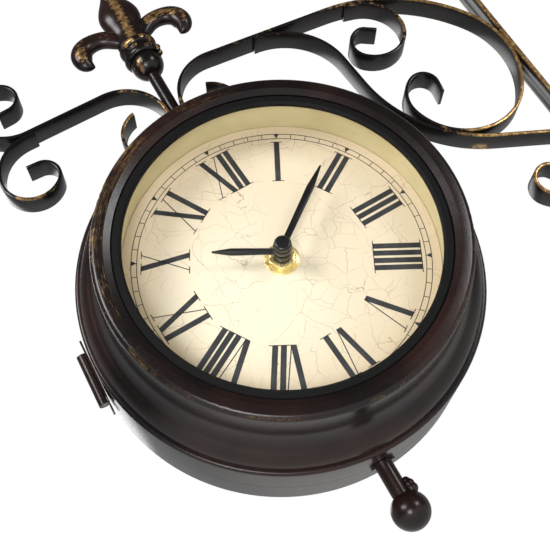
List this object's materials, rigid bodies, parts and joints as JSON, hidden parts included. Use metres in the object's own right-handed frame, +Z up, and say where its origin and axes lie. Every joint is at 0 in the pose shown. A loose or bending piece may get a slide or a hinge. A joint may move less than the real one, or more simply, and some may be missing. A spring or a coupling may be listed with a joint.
{
  "type": "station clock",
  "caption": "Hanging station clock with back-to-back dials in a round metal case on a scrolled wall bracket; the case opens on a side hinge and a knob below holds it shut.",
  "frame": {"origin": "middle of the wall bar's two screw holes, on its wall face", "axes": "+X into the wall, +Y from the front dial to the rear dial, +Z up"},
  "size_m": [0.2976, 0.1212, 0.36],
  "materials": {
    "bracket_iron": "very dark brown satin paint, rubbed to bronze on the edges",
    "case_steel": "very dark brown satin paint, rubbed to bronze on the rims",
    "fittings_steel": "zinc-plated steel",
    "glass": "clear flat glass",
    "gasket_rubber": "black rubber",
    "pan_paint": "cream satin paint",
    "dial_print": "cream print with fine cracks, satin",
    "movement_plastic": "black moulded plastic",
    "battery_sleeve": "plain grey sleeve",
    "brass": "turned brass",
    "hand_black": "black satin paint",
    "knob_white": "white plastic"
  },
  "bodies": {
    "bracket_and_rear_half": {"wall_bar": "bracket_iron", "arm_right": "bracket_iron", "arm_left": "bracket_iron", "scroll_right": "bracket_iron", "scroll_left": "bracket_iron", "brace_scroll": "bracket_iron", "stem": "bracket_iron", "hanger_plate": "fittings_steel", "stem_nut": "fittings_steel", "finial_ball": "bracket_iron", "finial_collar": "bracket_iron", "fleur_finial": "bracket_iron", "rear_case": "case_steel", "hinge_leaf_rear": "case_steel", "hinge_pin": "fittings_steel", "catch_plate": "fittings_steel", "rear_gasket": "gasket_rubber", "rear_glass": "glass", "rear_dial_pan": "pan_paint", "rear_pan_clips": "fittings_steel", "rear_dial": "dial_print", "rear_movement": "movement_plastic", "rear_battery": "battery_sleeve", "rear_washer": "brass", "rear_nut": "brass"},
    "front_half": {"front_case": "case_steel", "hinge_leaf_front": "case_steel", "front_gasket": "gasket_rubber", "front_glass": "glass", "front_dial_pan": "pan_paint", "front_pan_clips": "fittings_steel", "front_dial": "dial_print", "front_movement": "movement_plastic", "front_battery": "battery_sleeve", "front_washer": "brass", "front_nut": "brass"},
    "case_knob": {"knob_rod": "bracket_iron", "knob_ball": "bracket_iron"},
    "front_minute": {"front_minute_hand": "hand_black", "front_minute_arbor": "brass", "front_hand_cap": "hand_black"},
    "front_hour": {"front_hour_hand": "hand_black", "front_hour_pipe": "brass"},
    "front_set": {"front_set_wheel": "knob_white"},
    "rear_minute": {"rear_minute_hand": "hand_black", "rear_minute_arbor": "brass", "rear_hand_cap": "hand_black"},
    "rear_hour": {"rear_hour_hand": "hand_black", "rear_hour_pipe": "brass"},
    "rear_set": {"rear_set_wheel": "knob_white"}
  },
  "joints": [
    {"name": "front_half_hinge", "type": "hinge", "parent": "bracket_and_rear_half", "child": "front_half", "pos_m": [-0.2948, 0, -0.063], "axis": [0, 0, -1], "range_deg": [0, 110]},
    {"name": "case_knob_turn", "type": "hinge", "parent": "bracket_and_rear_half", "child": "case_knob", "pos_m": [-0.1925, 0, -0.175], "axis": [0, 0, 1], "range_deg": [0, 720]},
    {"name": "front_minute_turn", "type": "hinge", "parent": "front_half", "child": "front_minute", "pos_m": [-0.1925, 0, -0.063], "axis": [0, 1, 0], "continuous": true},
    {"name": "front_hour_turn", "type": "hinge", "parent": "front_half", "child": "front_hour", "pos_m": [-0.1925, 0, -0.063], "axis": [0, 1, 0], "continuous": true},
    {"name": "front_set_turn", "type": "hinge", "parent": "front_half", "child": "front_set", "pos_m": [-0.1925, 0, -0.052], "axis": [0, 1, 0], "continuous": true},
    {"name": "rear_minute_turn", "type": "hinge", "parent": "bracket_and_rear_half", "child": "rear_minute", "pos_m": [-0.1925, 0, -0.063], "axis": [0, -1, 0], "continuous": true},
    {"name": "rear_hour_turn", "type": "hinge", "parent": "bracket_and_rear_half", "child": "rear_hour", "pos_m": [-0.1925, 0, -0.063], "axis": [0, -1, 0], "continuous": true},
    {"name": "rear_set_turn", "type": "hinge", "parent": "bracket_and_rear_half", "child": "rear_set", "pos_m": [-0.1925, 0, -0.052], "axis": [0, -1, 0], "continuous": true}
  ],
  "couplings": [
    {"joint": "front_hour_turn", "follows": "front_minute_turn", "ratio": 0.083333},
    {"joint": "front_set_turn", "follows": "front_minute_turn", "ratio": -0.33333},
    {"joint": "rear_hour_turn", "follows": "rear_minute_turn", "ratio": 0.083333},
    {"joint": "rear_set_turn", "follows": "rear_minute_turn", "ratio": -0.33333}
  ]
}
